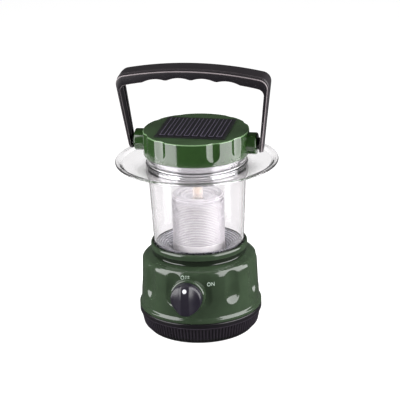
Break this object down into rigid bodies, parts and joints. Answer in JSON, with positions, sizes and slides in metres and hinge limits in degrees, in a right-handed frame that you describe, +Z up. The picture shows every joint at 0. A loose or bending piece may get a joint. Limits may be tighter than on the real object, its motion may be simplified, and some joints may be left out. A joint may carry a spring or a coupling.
{
  "type": "solar lantern",
  "caption": "Portable camping lantern with a solar panel on its cap, a clear globe over a ribbed lens and bulb, a rotary switch and a swinging carry handle.",
  "frame": {"origin": "centre of the underside of the battery cover, which is also the bottom centre of the whole lantern's box", "axes": "+Z up along the lantern's axis, the knob faces -Y, the handle's pivots lie along X"},
  "size_m": [0.118, 0.118, 0.1991],
  "materials": {
    "green_plastic": "glossy moulded plastic, camping green",
    "black_plastic": "glossy moulded plastic, black",
    "inner_plastic": "matt moulded plastic, black",
    "white_plastic": "white moulded plastic",
    "seal_rubber": "soft black rubber",
    "clear_plastic": "clear moulded plastic, polished",
    "lens_plastic": "clear ribbed plastic with a milky cast",
    "reflector_plating": "vacuum-plated plastic, bright",
    "bright_metal": "nickel plated",
    "bulb_glass": "clear glass",
    "steel": "zinc plated",
    "cell_wrap": "shrink-wrapped cells",
    "board_laminate": "circuit board laminate",
    "board_parts": "moulded electronic parts",
    "panel_board": "black coated board",
    "panel_cells": "dark violet cells under clear resin"
  },
  "bodies": {
    "base": {"base_housing": "green_plastic", "globe_collar": "green_plastic", "top_cap": "green_plastic", "battery_holder": "inner_plastic", "contact_tray": "inner_plastic", "switch_body": "inner_plastic", "lamp_post": "white_plastic", "globe": "clear_plastic", "prism_lens": "lens_plastic", "lower_reflector": "reflector_plating", "upper_reflector": "reflector_plating", "bulb_socket": "bright_metal", "bulb_base": "bright_metal", "bulb_glass": "bulb_glass", "switch_nut": "steel", "holder_screws": "steel", "cap_screws": "steel", "board_screws": "steel", "upper_contacts": "steel", "lower_contacts": "steel", "battery_cells": "cell_wrap", "charge_board": "board_laminate", "board_parts": "board_parts", "solar_board": "panel_board", "solar_cells": "panel_cells", "panel_diode": "board_parts"},
    "battery_cover": {"battery_cover": "black_plastic", "cover_seal": "seal_rubber"},
    "knob": {"knob": "black_plastic", "knob_pointer": "white_plastic", "switch_shaft": "steel"},
    "handle": {"handle": "black_plastic", "pivot_pin_left": "black_plastic", "pivot_pin_right": "black_plastic", "pivot_clips": "steel"}
  },
  "joints": [
    {"name": "handle_swing", "type": "hinge", "parent": "base", "child": "handle", "pos_m": [0, 0, 0.1416], "axis": [1, 0, 0], "range_deg": [-97.5, 87]},
    {"name": "knob_turn", "type": "hinge", "parent": "base", "child": "knob", "pos_m": [0, -0.046, 0.039], "axis": [0, 1, 0], "range_deg": [0, 60]},
    {"name": "cover_twist", "type": "hinge", "parent": "base", "child": "battery_cover", "pos_m": [0, 0, 0], "axis": [0, 0, 1], "range_deg": [0, 32]}
  ]
}
